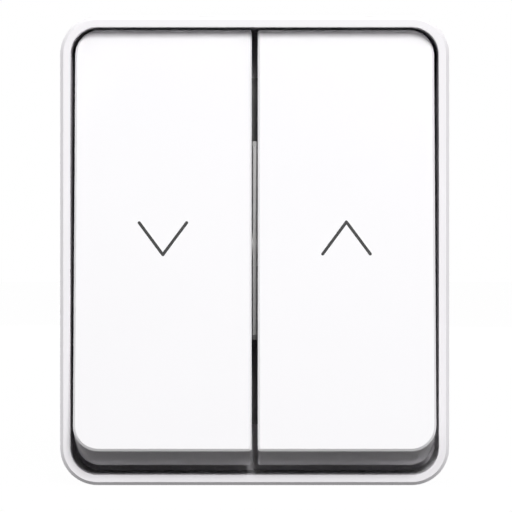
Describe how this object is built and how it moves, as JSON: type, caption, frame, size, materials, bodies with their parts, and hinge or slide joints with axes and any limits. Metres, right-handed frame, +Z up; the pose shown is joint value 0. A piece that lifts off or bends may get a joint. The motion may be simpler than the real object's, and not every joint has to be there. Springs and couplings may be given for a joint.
{
  "type": "roller shutter switch",
  "caption": "Surface-mounted weatherproof roller shutter switch: a deep box and cover frame with rounded corners, and up and down rockers side by side in its well.",
  "frame": {"origin": "centre of the back face, on the wall", "axes": "+X to the right as seen from the front, -Y out of the wall towards the user, +Z up"},
  "size_m": [0.076, 0.058, 0.0914],
  "materials": {
    "white_plastic": "fine satin, moulded",
    "frame_plastic": "satin, moulded",
    "carrier_plastic": "satin, moulded",
    "insert_plastic": "satin, moulded",
    "brass": "stamped, bright",
    "contact_silver": "bright",
    "spring_steel": "bright wire and strip",
    "screw_steel": "zinc plated",
    "seal_rubber": "soft, matte",
    "entry_rubber": "soft, matte"
  },
  "bodies": {
    "housing": {"back_box": "white_plastic", "cover_frame": "white_plastic", "bearing_frame": "frame_plastic", "insert_body": "insert_plastic", "line_bar": "brass", "interlock_link": "brass", "up_contact": "brass", "down_contact": "brass", "fixed_tips": "contact_silver", "line_clamp_spring": "spring_steel", "up_clamp_spring": "spring_steel", "down_clamp_spring": "spring_steel", "cover_screws": "screw_steel", "box_seal": "seal_rubber", "well_seal": "seal_rubber", "top_membrane": "entry_rubber", "bottom_membrane": "entry_rubber"},
    "left_rocker": {"left_rocker": "white_plastic", "left_cradle": "carrier_plastic", "left_spring": "spring_steel"},
    "left_plunger": {"left_plunger": "carrier_plastic"},
    "left_seesaw": {"left_moving_contact": "brass", "left_moving_tips": "contact_silver"},
    "right_rocker": {"right_rocker": "white_plastic", "right_cradle": "carrier_plastic", "right_spring": "spring_steel"},
    "right_plunger": {"right_plunger": "carrier_plastic"},
    "right_seesaw": {"right_moving_contact": "brass", "right_moving_tips": "contact_silver"},
    "line_release": {"line_release": "carrier_plastic"},
    "up_release": {"up_release": "carrier_plastic"},
    "down_release": {"down_release": "carrier_plastic"}
  },
  "joints": [
    {"name": "left_rocker_tilt", "type": "hinge", "parent": "housing", "child": "left_rocker", "pos_m": [0, -0.0354, 0], "axis": [1, 0, 0], "range_deg": [0, 16]},
    {"name": "left_plunger_slide", "type": "slide", "parent": "left_rocker", "child": "left_plunger", "axis": [0, -0.9903, 0.1392], "range_m": [0, 0.001], "stiffness_N_per_m": 200, "springref_m": -0.002, "deforming": ["left_spring"]},
    {"name": "left_seesaw_tilt", "type": "hinge", "parent": "housing", "child": "left_seesaw", "pos_m": [0, -0.026, 0], "axis": [1, 0, 0], "range_deg": [-16, 0]},
    {"name": "right_rocker_tilt", "type": "hinge", "parent": "housing", "child": "right_rocker", "pos_m": [0, -0.0354, 0], "axis": [1, 0, 0], "range_deg": [0, 16]},
    {"name": "right_plunger_slide", "type": "slide", "parent": "right_rocker", "child": "right_plunger", "axis": [0, -0.9903, 0.1392], "range_m": [0, 0.001], "stiffness_N_per_m": 200, "springref_m": -0.002, "deforming": ["right_spring"]},
    {"name": "right_seesaw_tilt", "type": "hinge", "parent": "housing", "child": "right_seesaw", "pos_m": [0, -0.026, 0], "axis": [1, 0, 0], "range_deg": [-16, 0]},
    {"name": "line_release_slide", "type": "slide", "parent": "housing", "child": "line_release", "axis": [0, -1, 0], "range_m": [0, 0.0012], "stiffness_N_per_m": 300, "springref_m": -0.001, "deforming": ["line_clamp_spring"]},
    {"name": "up_release_slide", "type": "slide", "parent": "housing", "child": "up_release", "axis": [0, -1, 0], "range_m": [0, 0.0012], "stiffness_N_per_m": 300, "springref_m": -0.001, "deforming": ["up_clamp_spring"]},
    {"name": "down_release_slide", "type": "slide", "parent": "housing", "child": "down_release", "axis": [0, -1, 0], "range_m": [0, 0.0012], "stiffness_N_per_m": 300, "springref_m": -0.001, "deforming": ["down_clamp_spring"]}
  ],
  "couplings": [
    {"joint": "left_seesaw_tilt", "follows": "left_rocker_tilt", "ratio": -1},
    {"joint": "right_seesaw_tilt", "follows": "right_rocker_tilt", "ratio": -1}
  ]
}
